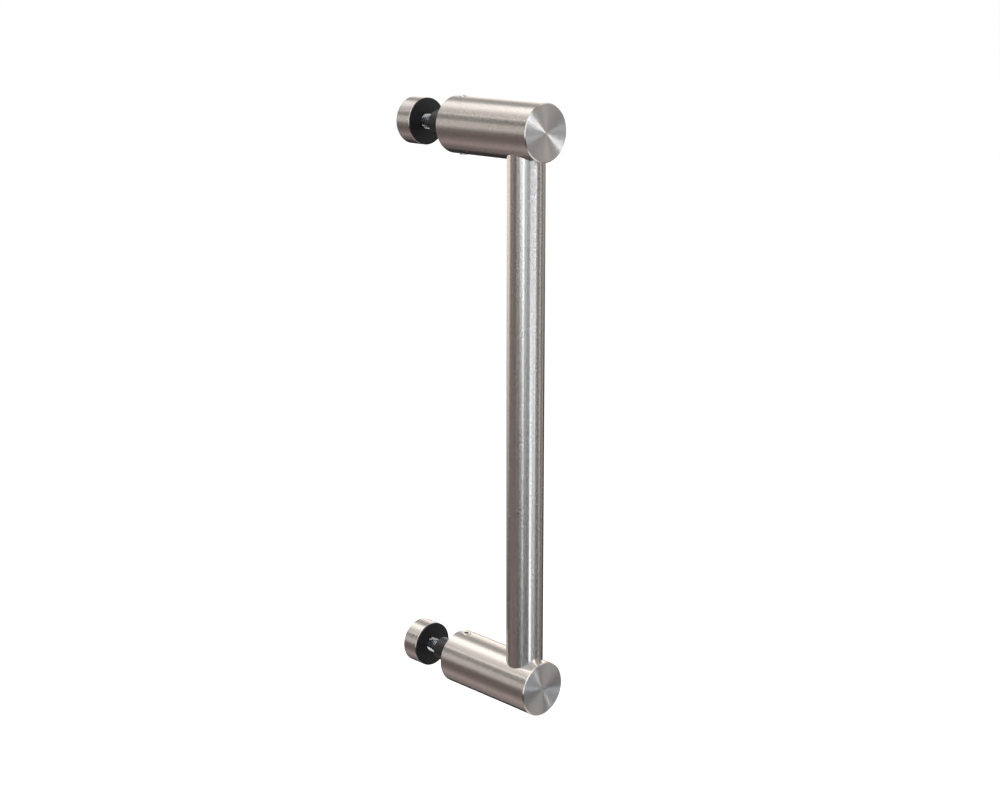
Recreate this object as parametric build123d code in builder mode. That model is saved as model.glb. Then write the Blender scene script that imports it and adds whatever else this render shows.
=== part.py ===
"""One-sided pull handle for a glass or thin panel door, with its through-door fixings.

The upright grip bar is held by two round posts. Each post slides over a threaded boss that is bolted to the
door, and two grub screws lock it there. The bolt comes through the door from a cap on the far side.

Frame: +Z runs up the grip bar, -Y points at the person who pulls, and Y = 0 is the door's near face.
The origin lies midway between the two posts. All sizes are in millimetres.
"""
from build123d import *
import os

os.makedirs("parts", exist_ok=True)

# Grip and posts
fixing_centres = 300.0
bar_diameter = 20.0
bar_setback = 14.0  # from the posts' front faces back to the bar's axis
post_diameter = 30.0
post_length = 66.5
post_front_edge = 0.5
post_rear_edge = 0.6

# Door side
door_gap = 22.0  # between the two gaskets, where the door leaf goes
gasket_thickness = 0.8
gasket_diameter = 25.0

# Bolt: a low-head socket screw
bolt_diameter = 8.0
thread_engagement = 11.4  # how far the bolt reaches into the boss
head_diameter = 13.0
head_height = 5.0
head_socket_flats = 5.0
head_socket_depth = 3.0

# Cap on the far side
cap_diameter = 25.0
cap_floor = 5.0  # metal under the bolt's head
cap_edge = 0.5
head_recess = 0.5  # the head sits this far below the cap's outer face

# Sleeve round the bolt
sleeve_diameter = 13.0
sleeve_length = 15.0

# Boss inside the post
boss_diameter = 18.0
boss_length = 14.0
groove_depth = 1.6

# Grub screws
grub_diameter = 5.0
grub_socket_flats = 2.5
grub_socket_depth = 2.5
grub_setback = 6.0  # from the post's rear face to the screw's axis
grub_proud = 0.4  # how far the screw stands out of the post

# Fits, as play on the radius
thread_play = 0.05
bolt_play = 0.3
sleeve_play = 0.2
boss_play = 0.15
head_play = 0.5
groove_play = 0.1
bore_runout = 1.0  # free depth beyond the boss

# Places worked out from the sizes above, as Y coordinates
post_rear = -gasket_thickness
post_front = post_rear - post_length
bar_axis = post_front + bar_setback
grub_axis = post_rear - grub_setback
boss_front = post_rear - boss_length
cap_gasket_face = door_gap
cap_inner = cap_gasket_face + gasket_thickness
head_seat = cap_inner + cap_floor
cap_outer = head_seat + head_height + head_recess
bolt_tip = post_rear - thread_engagement

post_radius = post_diameter / 2
boss_radius = boss_diameter / 2
groove_radius = boss_radius - groove_depth
grub_top = post_radius + grub_proud
grub_length = grub_top - groove_radius
along_y = (0, 1, 0)


def across(y, height):
    """Plane square to a fixing's axis at this y, with its normal towards the person who pulls."""
    return Plane(origin=(0, y, height), x_dir=(1, 0, 0), z_dir=(0, -1, 0))


def half_section(height):
    """Plane for a turned piece's half profile: local x is world Y, local y is the radius."""
    return Plane(origin=(0, 0, height), x_dir=along_y, z_dir=(1, 0, 0))


def save(piece, name):
    piece.part.label = name
    export_step(piece.part, f"parts/{name}.step")


def make_grip_bar():
    """Round bar whose ends are cut to saddles by the posts that they sit on."""
    with BuildPart() as bar:
        with BuildSketch(Plane.XY.offset(-fixing_centres / 2)):
            with Locations((0, bar_axis)):
                Circle(bar_diameter / 2)
        extrude(amount=fixing_centres)
        for height in (-fixing_centres / 2, fixing_centres / 2):
            with BuildSketch(across(post_rear, height)):
                Circle(post_radius)
            extrude(amount=post_length, mode=Mode.SUBTRACT)
    save(bar, "grip_bar")


def make_post(side, height):
    """Solid round post with a blind rear bore for the boss and a cross hole for two grub screws."""
    with BuildPart() as post:
        with BuildSketch(across(post_rear, height)):
            Circle(post_radius)
        extrude(amount=post_length)
        ends = post.edges().filter_by(GeomType.CIRCLE).sort_by(Axis.Y)
        chamfer(ends[0], length=post_front_edge)
        chamfer(ends[-1], length=post_rear_edge)
        with BuildSketch(across(post_rear, height)):
            Circle(boss_radius + boss_play)
        extrude(amount=boss_length + bore_runout, mode=Mode.SUBTRACT)
        with BuildSketch(Plane.XY.offset(height)):
            with Locations((0, grub_axis)):
                Circle(grub_diameter / 2 + thread_play)
        extrude(amount=post_radius, both=True, mode=Mode.SUBTRACT)
    save(post, f"{side}_post")


def make_boss(side, height):
    """Turned boss: threaded for the bolt, with a groove that holds the ends of the grub screws."""
    groove_half = grub_diameter / 2 + groove_play
    thread_radius = bolt_diameter / 2 + thread_play
    with BuildPart() as boss:
        with BuildSketch(half_section(height)):
            with BuildLine():
                Polyline(
                    (post_rear, thread_radius),
                    (post_rear, boss_radius),
                    (grub_axis + groove_half, boss_radius),
                    (grub_axis + groove_half, groove_radius),
                    (grub_axis - groove_half, groove_radius),
                    (grub_axis - groove_half, boss_radius),
                    (boss_front, boss_radius),
                    (boss_front, thread_radius),
                    close=True,
                )
            make_face()
        revolve(axis=Axis((0, 0, height), along_y))
    save(boss, f"{side}_boss")


def make_grub_screw(side, place, height, outwards):
    """Socket grub screw with a flat point, standing in the post's wall; outwards is +1 up or -1 down."""
    seat = Plane(origin=(0, grub_axis, height), x_dir=(1, 0, 0), z_dir=(0, 0, outwards))
    with BuildPart() as grub:
        with BuildSketch(seat.offset(groove_radius)):
            Circle(grub_diameter / 2)
        extrude(amount=grub_length)
        with BuildSketch(seat.offset(grub_top)):
            RegularPolygon(grub_socket_flats / 2, 6, major_radius=False)
        extrude(amount=-grub_socket_depth, mode=Mode.SUBTRACT)
    save(grub, f"{side}_{place}_grub_screw")


def make_gasket(name, y, height, hole_radius):
    """Thin ring whose face nearer the person who pulls lies at this y."""
    with BuildPart() as gasket:
        with BuildSketch(across(y, height)):
            Circle(gasket_diameter / 2)
            Circle(hole_radius, mode=Mode.SUBTRACT)
        extrude(amount=-gasket_thickness)
    save(gasket, name)


def make_sleeve(side, height):
    """Plastic tube that keeps the bolt off the edge of the door's hole. It butts on the boss."""
    with BuildPart() as sleeve:
        with BuildSketch(across(post_rear, height)):
            Circle(sleeve_diameter / 2)
            Circle(bolt_diameter / 2 + bolt_play, mode=Mode.SUBTRACT)
        extrude(amount=-sleeve_length)
    save(sleeve, f"{side}_sleeve")


def make_cap(side, height):
    """Turned cap with a clearance hole, and a recess in its outer face for the bolt's head."""
    radius = cap_diameter / 2
    recess_radius = head_diameter / 2 + head_play
    hole_radius = bolt_diameter / 2 + bolt_play
    with BuildPart() as cap:
        with BuildSketch(half_section(height)):
            with BuildLine():
                Polyline(
                    (cap_inner, hole_radius),
                    (cap_inner, radius),
                    (cap_outer - cap_edge, radius),
                    (cap_outer, radius - cap_edge),
                    (cap_outer, recess_radius),
                    (head_seat, recess_radius),
                    (head_seat, hole_radius),
                    close=True,
                )
            make_face()
        revolve(axis=Axis((0, 0, height), along_y))
    save(cap, f"{side}_cap")


def make_bolt(side, height):
    """Low-head socket screw from the cap to the boss, with its thread and edges left plain."""
    shank_radius = bolt_diameter / 2
    head_radius = head_diameter / 2
    head_top = head_seat + head_height
    with BuildPart() as bolt:
        with BuildSketch(half_section(height)):
            with BuildLine():
                Polyline(
                    (bolt_tip, 0),
                    (bolt_tip, shank_radius),
                    (head_seat, shank_radius),
                    (head_seat, head_radius),
                    (head_top, head_radius),
                    (head_top, 0),
                    close=True,
                )
            make_face()
        revolve(axis=Axis((0, 0, height), along_y))
        with BuildSketch(across(head_top, height)):
            RegularPolygon(head_socket_flats / 2, 6, major_radius=False)
        extrude(amount=head_socket_depth, mode=Mode.SUBTRACT)
    save(bolt, f"{side}_bolt")


def make_fixing(side, height):
    """One post with all that holds it to the door."""
    make_post(side, height)
    make_boss(side, height)
    make_grub_screw(side, "top", height, 1)
    make_grub_screw(side, "bottom", height, -1)
    make_gasket(f"{side}_post_gasket", post_rear, height, sleeve_diameter / 2 + sleeve_play)
    make_sleeve(side, height)
    make_gasket(f"{side}_cap_gasket", cap_gasket_face, height, bolt_diameter / 2 + bolt_play)
    make_cap(side, height)
    make_bolt(side, height)


make_grip_bar()
make_fixing("upper", fixing_centres / 2)
make_fixing("lower", -fixing_centres / 2)
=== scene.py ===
# Looks of a one-sided pull handle for a glass or thin panel door: a satin steel grip, posts and caps,
# with the black washers and sleeves and the bright screws that hold it to the door.
# Frame: metres, +Z up the grip, -Y towards the person who pulls, Y = 0 on the door's near face.

import math

import bpy
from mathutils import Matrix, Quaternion, Vector


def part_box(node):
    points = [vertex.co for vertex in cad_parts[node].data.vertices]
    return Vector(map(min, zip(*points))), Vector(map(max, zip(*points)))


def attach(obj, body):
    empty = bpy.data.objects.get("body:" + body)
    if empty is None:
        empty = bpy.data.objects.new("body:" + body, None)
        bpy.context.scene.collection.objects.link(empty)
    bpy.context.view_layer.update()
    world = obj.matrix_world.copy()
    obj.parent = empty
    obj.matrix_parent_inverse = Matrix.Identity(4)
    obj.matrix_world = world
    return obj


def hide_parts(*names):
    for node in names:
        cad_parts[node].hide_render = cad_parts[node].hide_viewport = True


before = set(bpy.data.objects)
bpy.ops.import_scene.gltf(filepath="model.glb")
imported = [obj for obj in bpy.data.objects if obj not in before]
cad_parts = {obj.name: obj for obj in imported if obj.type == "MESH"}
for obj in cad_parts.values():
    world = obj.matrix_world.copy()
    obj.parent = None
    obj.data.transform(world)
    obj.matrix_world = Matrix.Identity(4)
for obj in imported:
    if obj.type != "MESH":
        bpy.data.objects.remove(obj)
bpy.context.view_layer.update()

MM = 0.001
ACROSS = Vector((1, 0, 0))
ALONG = Vector((0, 1, 0))  # a fixing's axis
UPRIGHT = Vector((0, 0, 1))  # the grip's axis
STANDING = (0, 0, 0)  # a rod as it is added
LYING = (math.pi / 2, 0, 0)  # a rod laid along a fixing's axis

# Sizes in mm that the solids' boxes don't tell
GRIP_SPARE = 2.0  # extra length of bar, which the saddles' cuts take off
GRIP_RINGS = (5.0, 20.0)  # edge rings, from each end of the grip
POST_FRONT_EDGE = 0.5
POST_REAR_EDGE = 0.6
POST_RINGS = (-3.5, 3.2)  # edge rings, from the grub screws' axis
BORE_RADIUS = 9.15
BORE_DEPTH = 15.0
GRUB_HOLE_RADIUS = 2.55
GRUB_HOLE_EDGE = 0.35
GRUB_EDGE = 0.35
GRUB_SOCKET = (2.5, 2.5)  # across flats, deep
CAP_OUTER_EDGE = 0.5
CAP_INNER_EDGE = 0.25
CAP_HOLE_RADIUS = 4.3
HEAD_RECESS_RADIUS = 7.0
HEAD_SEAT = 5.5  # from the cap's outer face down to the seat of the bolt's head
HEAD_EDGE = 0.5
HEAD_SOCKET = (5.0, 3.0)
SOCKET_EDGE_DEPTH = 0.2
SOCKET_EDGE_INSET = 0.1  # how far inside the hex's corners its countersink ends
SHANK_RADIUS = 4.0
THREAD_PITCH = 1.25
THREAD_ROOT_RADIUS = 3.25
THREAD_IN_CAP = 1.0  # how far the thread runs on inside the cap
THREAD_OVERLAP = 0.05  # and inside the plain shank
SLEEVE_BORE_RADIUS = 4.3
SLEEVE_EDGE = 0.5
POST_GASKET_HOLE_RADIUS = 6.7
GASKET_EDGE = 0.12

# Shape of the thread, in pitches
THREAD_ROOT_FLAT = 0.25
THREAD_CREST_FLAT = 0.125
THREAD_LEAD = 1.483  # thread made before the bolt's end, which settles where its crests lie
THREAD_SPARE = 3  # extra turns, so that both ends can be trimmed square

ROUND_STEPS = 192  # facets round a large turned piece
SMALL_STEPS = 96
HOLE_STEPS = 64
THREAD_STEPS = 48
THROUGH = 2.2  # length of a cutter that goes right through a post, in post radii
SOFT_ANGLE = math.radians(32)  # edges sharper than this stay crisp
NEAR = 0.002 * MM  # points closer than this are one
SQUARE_ON = 0.99  # a face whose normal points this much along the fixing is one of its ends


# Places from the frame

def fixing_centre(side):
    low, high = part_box(f"{side}_post")
    return Vector((0, 0, (low.z + high.z) / 2))


def size_along(node):
    """Where a fixing's node starts and ends along Y, and its outer radius."""
    low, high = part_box(node)
    return low.y, high.y, (high.x - low.x) / 2


# Hand tools

def select_only(piece):
    bpy.ops.object.select_all(action="DESELECT")
    piece.select_set(True)
    bpy.context.view_layer.objects.active = piece


def add_primitive(operator, **settings):
    """Add a primitive, with its object at the origin and its place in its mesh."""
    bpy.ops.object.select_all(action="DESELECT")
    operator(**settings)
    bpy.ops.object.transform_apply(location=True, rotation=True, scale=True)
    return bpy.context.object


def start_outline(name, origin, first):
    """One vertex at the first point, in a new piece whose origin is on the axis. Leaves it in edit mode."""
    bpy.ops.object.select_all(action="DESELECT")
    bpy.ops.mesh.primitive_plane_add(size=MM, location=origin)
    piece = bpy.context.object
    piece.name = piece.data.name = name
    bpy.ops.object.mode_set(mode="EDIT")
    bpy.ops.mesh.merge(type="CENTER")
    bpy.ops.transform.translate(value=first - origin)
    return piece


def draw_on(points):
    """Extrude the selected vertex from point to point."""
    for here, there in zip(points, points[1:]):
        bpy.ops.mesh.extrude_region_move(TRANSFORM_OT_translate={"value": there - here})


def close_up(piece):
    """Weld the seams and poles, turn the faces outwards and put the piece's place in its mesh."""
    select_only(piece)
    bpy.ops.object.mode_set(mode="EDIT")
    bpy.ops.mesh.select_all(action="SELECT")
    bpy.ops.mesh.remove_doubles(threshold=NEAR)
    bpy.ops.mesh.normals_make_consistent(inside=False)
    bpy.ops.object.mode_set(mode="OBJECT")
    bpy.ops.object.transform_apply(location=True, rotation=True, scale=True)


def turn(name, outline, centre, axis=ALONG, steps=ROUND_STEPS):
    """Turn an outline of (place on the axis, radius) points into a piece, as on a lathe."""
    origin = centre - axis * centre.dot(axis)
    points = [origin + axis * place + ACROSS * radius for place, radius in outline]
    piece = start_outline(name, origin, points[0])
    draw_on(points)
    bpy.ops.mesh.select_all(action="SELECT")
    bpy.ops.mesh.spin(steps=steps, angle=math.tau, center=origin, axis=axis)
    bpy.ops.object.mode_set(mode="OBJECT")
    close_up(piece)
    return piece


def slice_at(piece, places, axis):
    """Add an edge ring at each place, so that a cut near one end doesn't disturb the shading further on."""
    select_only(piece)
    bpy.ops.object.mode_set(mode="EDIT")
    for place in places:
        bpy.ops.mesh.select_all(action="SELECT")
        bpy.ops.mesh.bisect(plane_co=axis * place, plane_no=axis, threshold=NEAR)
    bpy.ops.object.mode_set(mode="OBJECT")


def apply_modifier(piece, kind, **settings):
    select_only(piece)
    modifier = piece.modifiers.new(kind.lower(), kind)
    for setting, value in settings.items():
        setattr(modifier, setting, value)
    bpy.ops.object.modifier_apply(modifier=modifier.name)


def cut(piece, cutter):
    """Take the cutter's shape out of the piece and throw the cutter away."""
    apply_modifier(piece, "BOOLEAN", operation="DIFFERENCE", solver="EXACT", object=cutter)
    bpy.data.objects.remove(cutter)


def rod(radius, depth, place, turned=STANDING, sides=ROUND_STEPS):
    """A plain rod, to shape or to cut with."""
    return add_primitive(
        bpy.ops.mesh.primitive_cylinder_add,
        vertices=sides, radius=radius, depth=depth, location=place, rotation=turned)


def countersink(piece, mouth, outwards, radius, reach):
    """Cut a cone at a hole's mouth. It has the radius at the reach below the mouth, and widens outwards."""
    cone = add_primitive(
        bpy.ops.mesh.primitive_cone_add,
        vertices=SMALL_STEPS, radius1=radius, radius2=radius + 2 * reach, depth=2 * reach, location=mouth,
        rotation=outwards.to_track_quat("Z", "Y").to_euler())
    cut(piece, cone)


def cut_hex_socket(piece, mouth, inwards, flats, depth):
    """Sink a hex socket from its mouth, and countersink it a little."""
    turned = LYING if inwards.y else STANDING
    corner = flats * MM / math.sqrt(3)
    cut(piece, rod(corner, 2 * depth * MM, mouth, turned, sides=6))
    countersink(piece, mouth, -inwards, corner - SOCKET_EDGE_INSET * MM, SOCKET_EDGE_DEPTH * MM)


def finish_piece(piece, material, slot, *nodes):
    select_only(piece)
    bpy.ops.object.shade_smooth_by_angle(angle=SOFT_ANGLE)
    piece.data.materials.clear()
    piece.data.materials.append(material)
    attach(piece, "root")
    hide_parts(*nodes)


# Shader tools

def grey(level):
    return (level, level, level, 1)


def feed(tree, socket, value):
    """Link a node's output to the socket, or set the socket to a plain value."""
    if isinstance(value, bpy.types.NodeSocket):
        tree.links.new(value, socket)
    else:
        socket.default_value = value


def add(tree, kind, settings=None, **inputs):
    """Add a node, set its properties and feed its inputs, each by its name, or by _ and its number."""
    node = tree.nodes.new(kind)
    for name, value in (settings or {}).items():
        setattr(node, name, value)
    for name, value in inputs.items():
        key = int(name[1:]) if name[0] == "_" else name.replace("_", " ")
        feed(tree, node.inputs[key], value)
    return node


def maths(tree, operation, *values):
    node = add(tree, "ShaderNodeMath", {"operation": operation})
    for socket, value in zip(node.inputs, values):
        feed(tree, socket, value)
    return node.outputs[0]


def step(tree, value, start, end):
    """0 up to start, 1 from end on, and a smooth rise between them."""
    node = add(tree, "ShaderNodeMapRange", {"interpolation_type": "SMOOTHSTEP"},
               Value=value, From_Min=start, From_Max=end)
    return node.outputs["Result"]


def blend(tree, factor, low, high):
    """The low colour where the factor is 0, the high one where it is 1."""
    return add(tree, "ShaderNodeMix", {"data_type": "RGBA"}, _0=factor, _6=low, _7=high).outputs[2]


def mix_shaders(tree, factor, low, high):
    """The low shader where the factor is 0, the high one where it is 1."""
    return add(tree, "ShaderNodeMixShader", _0=factor, _1=low.outputs[0], _2=high.outputs[0])


def mirror_rays(tree, rays):
    """1 for a ray that metal mirrors or glass lets through, 0 for any other."""
    return maths(tree, "MAXIMUM", rays["Is Glossy Ray"], rays["Is Transmission Ray"])


def new_group(name, inputs, outputs):
    """A node group with its own input and output nodes. Returns the group, its inputs and its output node."""
    group = bpy.data.node_groups.new(name, "ShaderNodeTree")
    for label, kind, value in inputs:
        socket = group.interface.new_socket(label, in_out="INPUT", socket_type="NodeSocket" + kind)
        if value is not None:
            socket.default_value = value
    for label, kind in outputs:
        group.interface.new_socket(label, in_out="OUTPUT", socket_type="NodeSocket" + kind)
    entry = group.nodes.new("NodeGroupInput")
    leave = group.nodes.new("NodeGroupOutput")
    return group, entry.outputs, leave


def place_group(tree, group, **inputs):
    return add(tree, "ShaderNodeGroup", {"node_tree": group}, **inputs).outputs


# Finishes

NOISE_LOW = 0.3  # most of a noise texture's values lie between these two
NOISE_HIGH = 0.7
CLOUD_SCALE = 60.0  # clouds of colour in a metre
STEEL_GRAIN_DEPTH = 0.0004  # mm
STEEL_ROUGHNESS_SWING = 0.03
RING_SHARE = 0.35  # height of the facing rings, against the grain's
PLAIN_SPECKLE = 0.4  # mm
PLAIN_ROUGHNESS_SWING = 0.04


def make_grain_group():
    """Fine satin grain: short marks that run round the axis, and a speckle finer than a millimetre."""
    group, given, leave = new_group(
        "satin_grain",
        [("Place", "Vector", None), ("Mark Length", "Float", 5.0), ("Mark Width", "Float", 0.25),
         ("Speckle Size", "Float", 0.6), ("Speckle Share", "Float", 0.5), ("Axis Is Upright", "Float", 0.0)],
        [("Height", "Float"), ("Speckle", "Float"), ("Cloud", "Float")])
    parts = add(group, "ShaderNodeSeparateXYZ", Vector=given["Place"]).outputs
    upright = given["Axis Is Upright"]
    lying = maths(group, "SUBTRACT", 1.0, upright)
    long_scale = maths(group, "DIVIDE", 1 / MM, given["Mark Length"])
    fine_scale = maths(group, "DIVIDE", 1 / MM, given["Mark Width"])
    difference = maths(group, "SUBTRACT", fine_scale, long_scale)
    scale_y = maths(group, "MULTIPLY_ADD", difference, lying, long_scale)
    scale_z = maths(group, "MULTIPLY_ADD", difference, upright, long_scale)
    stretched = add(group, "ShaderNodeCombineXYZ",
                    X=maths(group, "MULTIPLY", parts["X"], long_scale),
                    Y=maths(group, "MULTIPLY", parts["Y"], scale_y),
                    Z=maths(group, "MULTIPLY", parts["Z"], scale_z)).outputs[0]
    marks = add(group, "ShaderNodeTexNoise", Vector=stretched, Scale=1.0, Detail=2.0).outputs[0]
    speckle_scale = maths(group, "DIVIDE", 1 / MM, given["Speckle Size"])
    speckle = add(group, "ShaderNodeTexNoise", Vector=given["Place"], Scale=speckle_scale,
                  Detail=0.0).outputs[0]
    cloud = add(group, "ShaderNodeTexNoise", Vector=given["Place"], Scale=CLOUD_SCALE, Detail=2.0).outputs[0]
    marks_part = maths(group, "MULTIPLY", marks, maths(group, "SUBTRACT", 1.0, given["Speckle Share"]))
    height = maths(group, "MULTIPLY_ADD", speckle, given["Speckle Share"], marks_part)
    for label, socket in (("Height", height), ("Speckle", speckle), ("Cloud", cloud)):
        group.links.new(socket, leave.inputs[label])
    return group


def make_ring_group():
    """Fine rings round a fixing's axis, as a lathe tool leaves on a faced end."""
    group, given, leave = new_group(
        "facing_rings",
        [("Place", "Vector", None), ("Fixing Height", "Float", fixing_centre("upper").z),
         ("Ring Width", "Float", 0.3)],
        [("Height", "Float")])
    parts = add(group, "ShaderNodeSeparateXYZ", Vector=given["Place"]).outputs
    off_axis = maths(group, "SUBTRACT", maths(group, "ABSOLUTE", parts["Z"]), given["Fixing Height"])
    aside_squared = maths(group, "MULTIPLY", parts["X"], parts["X"])
    squared = maths(group, "MULTIPLY_ADD", off_axis, off_axis, aside_squared)
    radius = maths(group, "SQRT", squared)
    rings = maths(group, "MULTIPLY", radius, maths(group, "DIVIDE", 1 / MM, given["Ring Width"]))
    noise = add(group, "ShaderNodeTexNoise", {"noise_dimensions": "1D"}, W=rings, Scale=1.0, Detail=2.0)
    group.links.new(noise.outputs[0], leave.inputs["Height"])
    return group


def new_material(name):
    """A material with one shader. Returns the material, its nodes, the shader and where the surface goes."""
    material = bpy.data.materials.new(name)
    material.use_nodes = True
    tree = material.node_tree
    tree.nodes.clear()
    shader = tree.nodes.new("ShaderNodeBsdfPrincipled")
    surface = tree.nodes.new("ShaderNodeOutputMaterial").inputs["Surface"]
    tree.links.new(shader.outputs[0], surface)
    return material, tree, shader, surface


def vary(tree, noise, middle, swing):
    """A value that swings about its middle as the noise does."""
    node = add(tree, "ShaderNodeMapRange", Value=noise, From_Min=NOISE_LOW, From_Max=NOISE_HIGH,
               To_Min=middle - swing, To_Max=middle + swing)
    return node.outputs["Result"]


def tint(tree, noise, dark, light):
    """A colour between dark and light."""
    return blend(tree, step(tree, noise, NOISE_LOW, NOISE_HIGH), (*dark, 1), (*light, 1))


def set_bump(tree, shader, height, depth):
    bump = add(tree, "ShaderNodeBump", Height=height, Distance=depth * MM, Strength=1.0)
    tree.links.new(bump.outputs[0], shader.inputs["Normal"])


def turned_steel(name, axis="Y", dark=(0.62, 0.58, 0.545), light=(0.64, 0.60, 0.565),
                 roughness=0.22, spread=0.85, glint=0.10, speckle=0.62):
    """Satin stainless steel finished round its axis, which draws each highlight out along the axis."""
    material, tree, shader, _ = new_material(name)
    place = tree.nodes.new("ShaderNodeTexCoord").outputs["Object"]
    grain = place_group(tree, grain_group, Place=place, Axis_Is_Upright=float(axis == "Z"),
                        Speckle_Size=speckle)
    height = grain["Height"]
    if axis == "Y":
        rings = place_group(tree, ring_group, Place=place)
        height = maths(tree, "MULTIPLY_ADD", rings["Height"], RING_SHARE, height)
    colour = tint(tree, grain["Cloud"], dark, light)
    speckled = add(tree, "ShaderNodeVectorMath", {"operation": "SCALE"},
                   _0=colour, Scale=vary(tree, grain["Speckle"], 1, glint))
    tree.links.new(speckled.outputs[0], shader.inputs["Base Color"])
    rough = vary(tree, grain["Speckle"], roughness, STEEL_ROUGHNESS_SWING)
    tree.links.new(rough, shader.inputs["Roughness"])
    shader.inputs["Metallic"].default_value = 1.0
    shader.inputs["Anisotropic"].default_value = spread
    shader.inputs["Anisotropic Rotation"].default_value = 0.25  # a quarter of a turn
    tangent = add(tree, "ShaderNodeTangent", {"direction_type": "RADIAL", "axis": axis})
    tree.links.new(tangent.outputs[0], shader.inputs["Tangent"])
    set_bump(tree, shader, height, STEEL_GRAIN_DEPTH)
    return material


def plain_finish(name, dark, light, roughness, metallic=0.0, depth=0.004):
    """Rubber, plastic or bright steel: a clouded colour with a fine moulded or machined grain."""
    material, tree, shader, _ = new_material(name)
    place = tree.nodes.new("ShaderNodeTexCoord").outputs["Object"]
    grain = place_group(tree, grain_group, Place=place, Speckle_Size=PLAIN_SPECKLE, Speckle_Share=1.0)
    tree.links.new(tint(tree, grain["Cloud"], dark, light), shader.inputs["Base Color"])
    rough = vary(tree, grain["Speckle"], roughness, PLAIN_ROUGHNESS_SWING)
    tree.links.new(rough, shader.inputs["Roughness"])
    shader.inputs["Metallic"].default_value = metallic
    set_bump(tree, shader, grain["Height"], depth)
    return material


grain_group = make_grain_group()
ring_group = make_ring_group()
satin_steel = turned_steel("satin_steel")
grip_steel = turned_steel("grip_steel", axis="Z", glint=0.20, speckle=0.50)
faced_steel = turned_steel("faced_steel", dark=(0.60, 0.58, 0.565), light=(0.65, 0.63, 0.615),
                           roughness=0.32, spread=1.0, glint=0.03)
machined_steel = turned_steel("machined_steel", dark=(0.50, 0.49, 0.48), light=(0.58, 0.57, 0.56),
                              roughness=0.3)
bright_steel = plain_finish("bright_steel", (0.72, 0.70, 0.68), (0.78, 0.76, 0.74),
                            roughness=0.16, metallic=1.0, depth=0.0005)
# Painted shade: the bolt's steel is a darker copy of bright_steel, for the bolt that stands in the narrow gap
# between cap and post beside the black washer and sleeve
shaded_bolt_steel = plain_finish("shaded_bolt_steel", (0.46, 0.47, 0.50), (0.52, 0.53, 0.56),
                          roughness=0.12, metallic=1.0, depth=0.0005)
black_rubber = plain_finish("black_rubber", (0.004, 0.004, 0.004), (0.006, 0.006, 0.006), roughness=0.45)
black_plastic = plain_finish("black_plastic", (0.010, 0.011, 0.009), (0.014, 0.015, 0.013), roughness=0.38)


# Pieces

def face_ends(piece):
    """Give the faces that are square to a fixing's axis the look of a faced end."""
    piece.data.materials.append(faced_steel)
    for face in piece.data.polygons:
        if abs(face.normal.y) > SQUARE_ON:
            face.material_index = 1


def make_grip():
    """Round bar, cut to saddles by the two posts that it stands between."""
    low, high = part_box("grip_bar")
    radius = (high.x - low.x) / 2
    middle = Vector((0, (low.y + high.y) / 2, (low.z + high.z) / 2))
    grip = rod(radius, high.z - low.z + GRIP_SPARE * MM, middle)
    grip.name = grip.data.name = "grip"
    near, far = (distance * MM for distance in GRIP_RINGS)
    slice_at(grip, [low.z + near, low.z + far, high.z - far, high.z - near], UPRIGHT)
    for side in ("upper", "lower"):
        start, end, post_radius = size_along(f"{side}_post")
        place = fixing_centre(side) + ALONG * (start + end) / 2
        cut(grip, rod(post_radius, end - start, place, LYING))
    finish_piece(grip, grip_steel, "satin_steel", "grip_bar")


def make_post(side):
    """Solid post with a faced front, a rear bore for the boss and a cross hole for the grub screws."""
    start, end, radius = size_along(f"{side}_post")
    centre = fixing_centre(side)
    bore_end = end - BORE_DEPTH * MM
    post = turn(f"{side}_satin_post", [
        (start, 0),
        (start, radius - POST_FRONT_EDGE * MM),
        (start + POST_FRONT_EDGE * MM, radius),
        (end - POST_REAR_EDGE * MM, radius),
        (end, radius - POST_REAR_EDGE * MM),
        (end, BORE_RADIUS * MM),
        (bore_end, BORE_RADIUS * MM),
        (bore_end, 0)], centre)
    screw_low, screw_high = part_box(f"{side}_top_grub_screw")
    screw_y = (screw_low.y + screw_high.y) / 2
    slice_at(post, [screw_y + distance * MM for distance in POST_RINGS], ALONG)
    hole = GRUB_HOLE_RADIUS * MM
    cut(post, rod(hole, THROUGH * radius, centre + ALONG * screw_y, sides=HOLE_STEPS))
    for outwards in (UPRIGHT, -UPRIGHT):
        mouth = centre + ALONG * screw_y + outwards * radius
        countersink(post, mouth, outwards, hole, GRUB_HOLE_EDGE * MM)
    finish_piece(post, satin_steel, "satin_steel", f"{side}_post")
    face_ends(post)


def make_grub_screw(side, place):
    """Socket grub screw that stands a little out of the post."""
    node = f"{side}_{place}_grub_screw"
    low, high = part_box(node)
    radius = (high.x - low.x) / 2
    centre = Vector((0, (low.y + high.y) / 2, 0))
    if place == "top":
        outer, inner, inwards = high.z, low.z, -UPRIGHT
    else:
        outer, inner, inwards = low.z, high.z, UPRIGHT
    edge = inwards.z * GRUB_EDGE * MM
    screw = turn(f"{side}_{place}_socket_screw", [
        (outer, 0),
        (outer, radius - GRUB_EDGE * MM),
        (outer + edge, radius),
        (inner - edge, radius),
        (inner, radius - GRUB_EDGE * MM),
        (inner, 0)], centre, UPRIGHT, SMALL_STEPS)
    cut_hex_socket(screw, centre + UPRIGHT * outer, inwards, *GRUB_SOCKET)
    finish_piece(screw, bright_steel, "bright_steel", node)


def make_gasket(side, which, hole_radius):
    """Rubber washer with its edges just rounded."""
    node = f"{side}_{which}_gasket"
    start, end, radius = size_along(node)
    edge, hole = GASKET_EDGE * MM, hole_radius * MM
    washer = turn(f"{side}_{which}_washer", [
        (start, hole),
        (start, radius - edge),
        (start + edge, radius),
        (end - edge, radius),
        (end, radius - edge),
        (end, hole),
        (start, hole)], fixing_centre(side))
    finish_piece(washer, black_rubber, "black_rubber", node)


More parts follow.
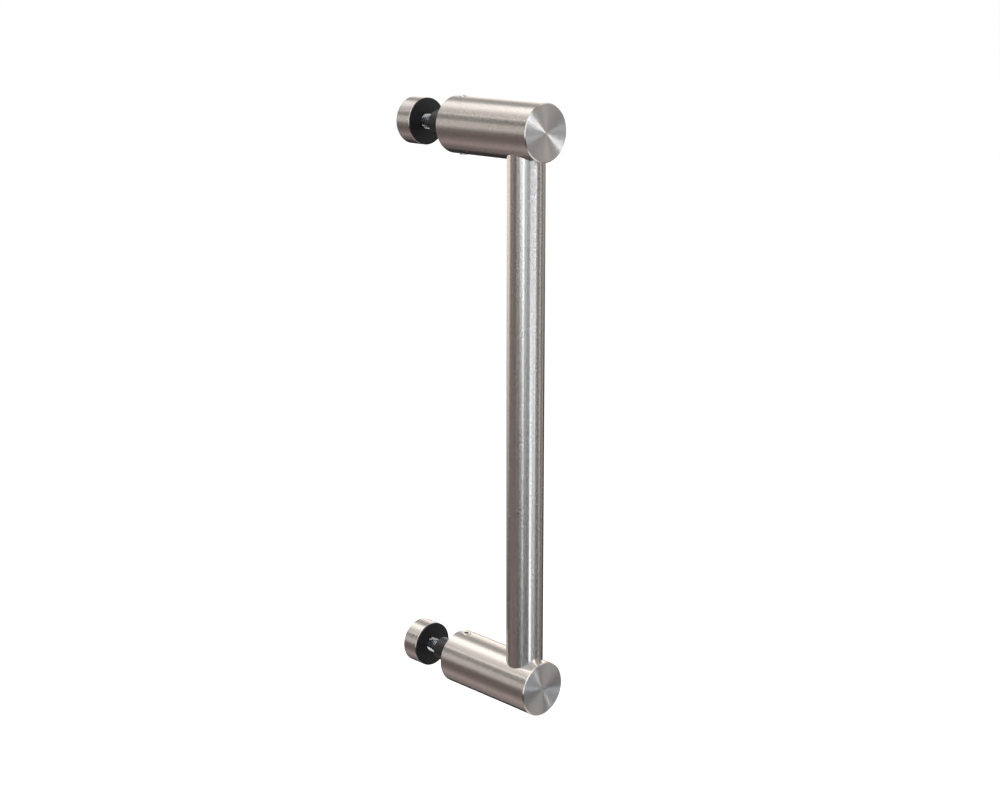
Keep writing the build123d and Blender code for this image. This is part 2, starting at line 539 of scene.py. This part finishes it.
def make_sleeve(side):
    """Plastic tube round the bolt, with its free end chamfered."""
    node = f"{side}_sleeve"
    start, end, radius = size_along(node)
    edge, bore = SLEEVE_EDGE * MM, SLEEVE_BORE_RADIUS * MM
    tube = turn(f"{side}_bolt_sleeve", [
        (start, bore),
        (start, radius),
        (end - edge, radius),
        (end, radius - edge),
        (end, bore),
        (start, bore)], fixing_centre(side), steps=SMALL_STEPS)
    finish_piece(tube, black_plastic, "black_plastic", node)


def make_cap(side):
    """Turned cap with a hole for the bolt and a recess for its head."""
    node = f"{side}_cap"
    start, end, radius = size_along(node)
    inner_edge, outer_edge = CAP_INNER_EDGE * MM, CAP_OUTER_EDGE * MM
    hole, recess, seat = CAP_HOLE_RADIUS * MM, HEAD_RECESS_RADIUS * MM, end - HEAD_SEAT * MM
    cap = turn(f"{side}_satin_cap", [
        (start, hole),
        (start, radius - inner_edge),
        (start + inner_edge, radius),
        (end - outer_edge, radius),
        (end, radius - outer_edge),
        (end, recess),
        (seat, recess),
        (seat, hole),
        (start, hole)], fixing_centre(side))
    finish_piece(cap, satin_steel, "satin_steel", node)
    face_ends(cap)


def make_threaded_shank(name, centre, start, end):
    """A length of thread: one tooth's outline carried round and along the axis, then trimmed square."""
    pitch, crest, root = THREAD_PITCH * MM, SHANK_RADIUS * MM, THREAD_ROOT_RADIUS * MM
    turns = math.ceil((end - start) / pitch) + THREAD_SPARE
    origin = centre + ALONG * (start - THREAD_LEAD * pitch)
    half_root, half_crest = THREAD_ROOT_FLAT / 2, THREAD_CREST_FLAT / 2
    tooth = [
        (0, root),
        (half_root, root),
        (0.5 - half_crest, crest),
        (0.5 + half_crest, crest),
        (1 - half_root, root),
        (1, root)]
    points = [origin + ALONG * share * pitch + ACROSS * radius for share, radius in tooth]
    shank = start_outline(name, origin, points[0])
    draw_on(points)
    bpy.ops.object.mode_set(mode="OBJECT")
    apply_modifier(shank, "SCREW", axis="Y", angle=math.tau, screw_offset=pitch, iterations=turns,
                   steps=THREAD_STEPS, render_steps=THREAD_STEPS, use_merge_vertices=False)
    close_up(shank)
    bpy.ops.object.mode_set(mode="EDIT")
    for place, keep_above in ((start, True), (end, False)):
        bpy.ops.mesh.select_all(action="SELECT")
        bpy.ops.mesh.bisect(plane_co=centre + ALONG * place, plane_no=ALONG, use_fill=True, threshold=NEAR,
                            clear_inner=keep_above, clear_outer=not keep_above)
    bpy.ops.mesh.select_all(action="SELECT")
    bpy.ops.mesh.normals_make_consistent(inside=False)
    bpy.ops.object.mode_set(mode="OBJECT")
    return shank


def make_bolt(side):
    """Low-head socket screw from the cap, through the door, to the boss."""
    node = f"{side}_bolt"
    start, end, head_radius = size_along(node)
    centre = fixing_centre(side)
    cap_start, cap_end, _ = size_along(f"{side}_cap")
    seat, edge = cap_end - HEAD_SEAT * MM, HEAD_EDGE * MM
    shank_start = cap_start + THREAD_IN_CAP * MM
    bolt = turn(f"{side}_socket_bolt", [
        (end, 0),
        (end, head_radius - edge),
        (end - edge, head_radius),
        (seat, head_radius),
        (seat, SHANK_RADIUS * MM),
        (shank_start, SHANK_RADIUS * MM),
        (shank_start, 0)], centre, steps=SMALL_STEPS)
    cut_hex_socket(bolt, centre + ALONG * end, -ALONG, *HEAD_SOCKET)
    thread = make_threaded_shank(f"{side}_thread", centre, start, shank_start + THREAD_OVERLAP * MM)
    select_only(bolt)
    thread.select_set(True)
    bpy.ops.object.join()
    finish_piece(bolt, shaded_bolt_steel, "bright_steel", node)


def make_fixing(side):
    make_post(side)
    make_grub_screw(side, "top")
    make_grub_screw(side, "bottom")
    make_gasket(side, "post", POST_GASKET_HOLE_RADIUS)
    make_sleeve(side)
    make_gasket(side, "cap", CAP_HOLE_RADIUS)
    make_cap(side)
    make_bolt(side)
    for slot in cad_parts[f"{side}_boss"].material_slots:
        slot.material = machined_steel


make_grip()
make_fixing("upper")
make_fixing("lower")


# Studio

CAMERA_PLACE = (-0.629705, -0.685971, 0.237874)
CAMERA_TURN = -44.0064  # degrees, from looking along +Y
CAMERA_TILT = 14.5093  # degrees, downwards
CAMERA_LENS = 63.05  # mm
CAMERA_SENSOR = 36.0  # mm, its width
PLAIN_LEVEL = 0.85  # what the world lights everything with, apart from what metal mirrors
PICTURE_LEVEL = 0.03  # behind all of the studio's panels
FLOOR_LEVEL = -0.62
FLOOR_SIZE = 12.0
FLOOR_GREY = 0.9
FLOOR_LIFT = 0.36  # what brings the lit floor up to white, for the camera alone

# Each row, in degrees: centre and half width in azimuth, low and high in elevation, softness at the sides
# and at the ends. Then its colour. Azimuth 0 is where the person stands, 90 is +X. Later rows lie on top.
STUDIO_PANELS = {
    "walls": (0, 200, -9, 40, 5, 8, (0.50, 0.48, 0.46)),
    "ceiling": (0, 200, 34, 95, 5, 24, (1.05, 1.06, 1.05)),
    "ceiling_front": (10, 46, 52, 95, 40, 30, (0.25, 0.25, 0.25)),
    "floor": (0, 200, -95, -46, 5, 20, (0.32, 0.30, 0.30)),
    "floor_front": (24, 50, -95, -42, 40, 24, (1.20, 1.18, 1.16)),
    "floor_front_far": (42, 42, -42, -8, 16, 12, (0.16, 0.16, 0.16)),
    "floor_left": (-126, 30, -60, -6, 20, 8, (0.205, 0.17, 0.16)),
    "floor_left_corner": (-142, 13, -60, -25, 12, 10, (0.25, 0.21, 0.20)),
    "floor_rear_left": (-151, 24, -95, -35, 20, 18, (0.50, 0.42, 0.41)),
    "floor_rear": (180, 18, -95, -45, 20, 12, (0.36, 0.30, 0.29)),
    "floor_right": (141, 22, -62, -9, 12, 8, (0.03, 0.03, 0.03)),
    "wall_left": (-118, 14, -9, 24, 8, 8, (0.26, 0.23, 0.22)),
    "wall_rear_left": (-133, 8, -1, 16, 7, 6, (0.76, 0.73, 0.69)),
    "window_wide": (-48, 54, -4, 50, 14, 12, (1.05, 1.14, 1.24)),
    "window_left": (-67, 14, -6, 16, 9, 5, (2.50, 2.68, 2.86)),
    "window_left_low": (-60, 6, -14, -4, 5, 5, (2.25, 2.42, 2.58)),
    "window_left_middle": (-45, 6, -14, 10, 4, 6, (1.05, 1.14, 1.24)),
    "window_middle": (-28, 11, -16, 10, 6, 8, (0.60, 0.66, 0.71)),
    "window_top": (-22, 20, 20, 46, 20, 16, (1.60, 1.75, 1.90)),
    "window_right_middle": (2, 18, -8, 8, 10, 6, (0.52, 0.58, 0.65)),
    "window_right_low": (5, 12, -16, -9, 8, 4, (2.35, 2.55, 2.75)),
    "window_strip": (-12, 7, -58, -11, 5, 6, (1.85, 2.00, 2.16)),
    "window_frame_right": (24, 3, -17, 10, 4, 6, (0.56, 0.59, 0.62)),
    "gap_right": (38, 5, -20, 48, 12, 10, (0.30, 0.30, 0.30)),
    "post_right": (51, 8, -22, 8, 8, 10, (0.66, 0.62, 0.60)),
    "gap_far_right": (67, 8, -26, 24, 10, 10, (0.26, 0.25, 0.24)),
    "post_far_right": (81, 8, -20, 8, 8, 8, (0.48, 0.46, 0.44)),
    "light_right": (47, 8, 17, 42, 10, 10, (1.20, 1.15, 1.10)),
    "box_right": (124, 23, 0, 46, 12, 14, (1.28, 1.19, 1.11)),
    "box_right_core": (121, 13, 3, 28, 8, 8, (1.80, 1.71, 1.62)),
    "ceiling_rear_left": (-143, 12, 31, 60, 10, 8, (1.30, 1.25, 1.19)),
    "ceiling_left_strip": (-130, 9, 35, 38, 5, 3, (3.20, 3.07, 2.92)),
    "ceiling_rear": (-174, 18, 45, 95, 16, 10, (2.4, 2.32, 2.26)),
    "ceiling_gap": (149, 10, 24, 52, 12, 14, (0.42, 0.41, 0.40)),
    "rear_gap": (180, 38, 14, 38, 16, 12, (0.46, 0.45, 0.44)),
    "rear_left_gap": (-140, 10, 17, 29, 8, 6, (0.24, 0.23, 0.22)),
    "rear_panel": (180, 27, -11, 12, 14, 10, (1.36, 1.26, 1.17)),
    "rear_panel_low": (-180, 11, -16, -6, 10, 8, (1.10, 1.02, 0.94)),
}


def make_camera():
    """Camera at the photograph's viewing angle."""
    data = bpy.data.cameras.new("camera")
    data.sensor_width = CAMERA_SENSOR
    data.lens = CAMERA_LENS
    data.clip_start = 0.01
    camera = bpy.data.objects.new("camera", data)
    bpy.context.scene.collection.objects.link(camera)
    camera.location = CAMERA_PLACE
    camera.rotation_euler = (math.radians(90 - CAMERA_TILT), 0, math.radians(CAMERA_TURN))
    bpy.context.scene.camera = camera


def make_panel_group():
    """A soft-edged panel in the picture of the studio: a patch of azimuths and elevations, in degrees."""
    group, given, leave = new_group(
        "studio_panel",
        [("Azimuth", "Float", 0.0), ("Elevation", "Float", 0.0), ("Centre", "Float", 0.0),
         ("Half Width", "Float", 10.0), ("Low", "Float", 0.0), ("High", "Float", 10.0),
         ("Side Softness", "Float", 5.0), ("End Softness", "Float", 5.0),
         ("Behind", "Color", grey(0)), ("Panel", "Color", grey(1))],
        [("Picture", "Color")])

    def soft_edge(distance, softness):
        """1 inside, 0 outside, with the edge in the middle of a band as wide as the softness."""
        half = maths(group, "MULTIPLY", softness, 0.5)
        start = maths(group, "MULTIPLY", half, -1.0)
        return step(group, distance, start, half)

    offset = maths(group, "SUBTRACT", given["Azimuth"], given["Centre"])
    wrapped = maths(group, "WRAP", offset, 180.0, -180.0)
    aside = maths(group, "ABSOLUTE", wrapped)
    within_sides = soft_edge(maths(group, "SUBTRACT", given["Half Width"], aside), given["Side Softness"])
    above_low = soft_edge(maths(group, "SUBTRACT", given["Elevation"], given["Low"]), given["End Softness"])
    below_high = soft_edge(maths(group, "SUBTRACT", given["High"], given["Elevation"]), given["End Softness"])
    share = maths(group, "MULTIPLY", within_sides, maths(group, "MULTIPLY", above_low, below_high))
    group.links.new(blend(group, share, given["Behind"], given["Panel"]), leave.inputs["Picture"])
    return group


def make_world():
    """White for the camera, the studio picture for what metal mirrors, and a plain level for all else."""
    world = bpy.data.worlds.new("studio")
    bpy.context.scene.world = world
    world.use_nodes = True
    tree = world.node_tree
    tree.nodes.clear()
    panel_group = make_panel_group()
    facing = tree.nodes.new("ShaderNodeTexCoord").outputs["Generated"]
    parts = add(tree, "ShaderNodeSeparateXYZ", Vector=facing).outputs
    to_degrees = 180 / math.pi
    towards = maths(tree, "MULTIPLY", parts["Y"], -1.0)
    azimuth = maths(tree, "MULTIPLY", maths(tree, "ARCTAN2", parts["X"], towards), to_degrees)
    elevation = maths(tree, "MULTIPLY", maths(tree, "ARCSINE", parts["Z"]), to_degrees)
    picture = grey(PICTURE_LEVEL)
    for centre, half, low, high, side_soft, end_soft, colour in STUDIO_PANELS.values():
        picture = place_group(
            tree, panel_group, Azimuth=azimuth, Elevation=elevation, Centre=centre, Half_Width=half, Low=low,
            High=high, Side_Softness=side_soft, End_Softness=end_soft, Behind=picture, Panel=(*colour, 1))[0]
    rays = tree.nodes.new("ShaderNodeLightPath").outputs
    plain = add(tree, "ShaderNodeBackground", Color=grey(PLAIN_LEVEL))
    pictured = add(tree, "ShaderNodeBackground", Color=picture)
    white = add(tree, "ShaderNodeBackground", Color=grey(1))
    unseen = mix_shaders(tree, mirror_rays(tree, rays), plain, pictured)
    shown = mix_shaders(tree, rays["Is Camera Ray"], unseen, white)
    add(tree, "ShaderNodeOutputWorld", Surface=shown.outputs[0])


def make_floor():
    """Pale floor well below the handle: the camera sees it white with a shadow, and metal looks past it."""
    floor = add_primitive(bpy.ops.mesh.primitive_plane_add, size=FLOOR_SIZE, location=(0, 0, FLOOR_LEVEL))
    floor.name = "floor"
    material, tree, shader, surface = new_material("pale_floor")
    shader.inputs["Base Color"].default_value = grey(FLOOR_GREY)
    shader.inputs["Roughness"].default_value = 0.8
    shader.inputs["Specular IOR Level"].default_value = 0.0
    shader.inputs["Emission Color"].default_value = grey(1)
    rays = tree.nodes.new("ShaderNodeLightPath").outputs
    lift = maths(tree, "MULTIPLY", rays["Is Camera Ray"], FLOOR_LIFT)
    tree.links.new(lift, shader.inputs["Emission Strength"])
    clear = tree.nodes.new("ShaderNodeBsdfTransparent")
    shown = mix_shaders(tree, mirror_rays(tree, rays), shader, clear)
    tree.links.new(shown.outputs[0], surface)
    floor.data.materials.append(material)


def make_lamp(name, azimuth, elevation, distance, width, height, power, colour=(1, 1, 1), turned=0,
              mirrored=False):
    """Soft lamp that faces the handle. Metal shows the studio picture in its place, unless it is mirrored."""
    data = bpy.data.lights.new(name, "AREA")
    data.shape = "RECTANGLE"
    data.size = width
    data.size_y = height
    data.energy = power
    data.color = colour
    lamp = bpy.data.objects.new(name, data)
    bpy.context.scene.collection.objects.link(lamp)
    aside, up = math.radians(azimuth), math.radians(elevation)
    direction = Vector((math.sin(aside) * math.cos(up), -math.cos(aside) * math.cos(up), math.sin(up)))
    lamp.location = direction * distance
    lamp.rotation_mode = "QUATERNION"
    lamp.rotation_quaternion = direction.to_track_quat("Z", "Y") @ Quaternion((0, 0, 1), math.radians(turned))
    lamp.visible_camera = False
    lamp.visible_glossy = mirrored


make_camera()
make_world()
make_floor()
make_lamp("softbox", azimuth=12.5, elevation=20, distance=1.42, width=0.29, height=0.58, power=3.4,
          colour=(0.94, 0.97, 1.0), turned=32, mirrored=True)
make_lamp("key_lamp", azimuth=-52, elevation=44, distance=1.6, width=0.8, height=0.8, power=6.0)
make_lamp("fill_lamp", azimuth=73, elevation=34, distance=1.26, width=0.9, height=0.9, power=4.0)
bpy.context.scene.view_settings.view_transform = "Standard"
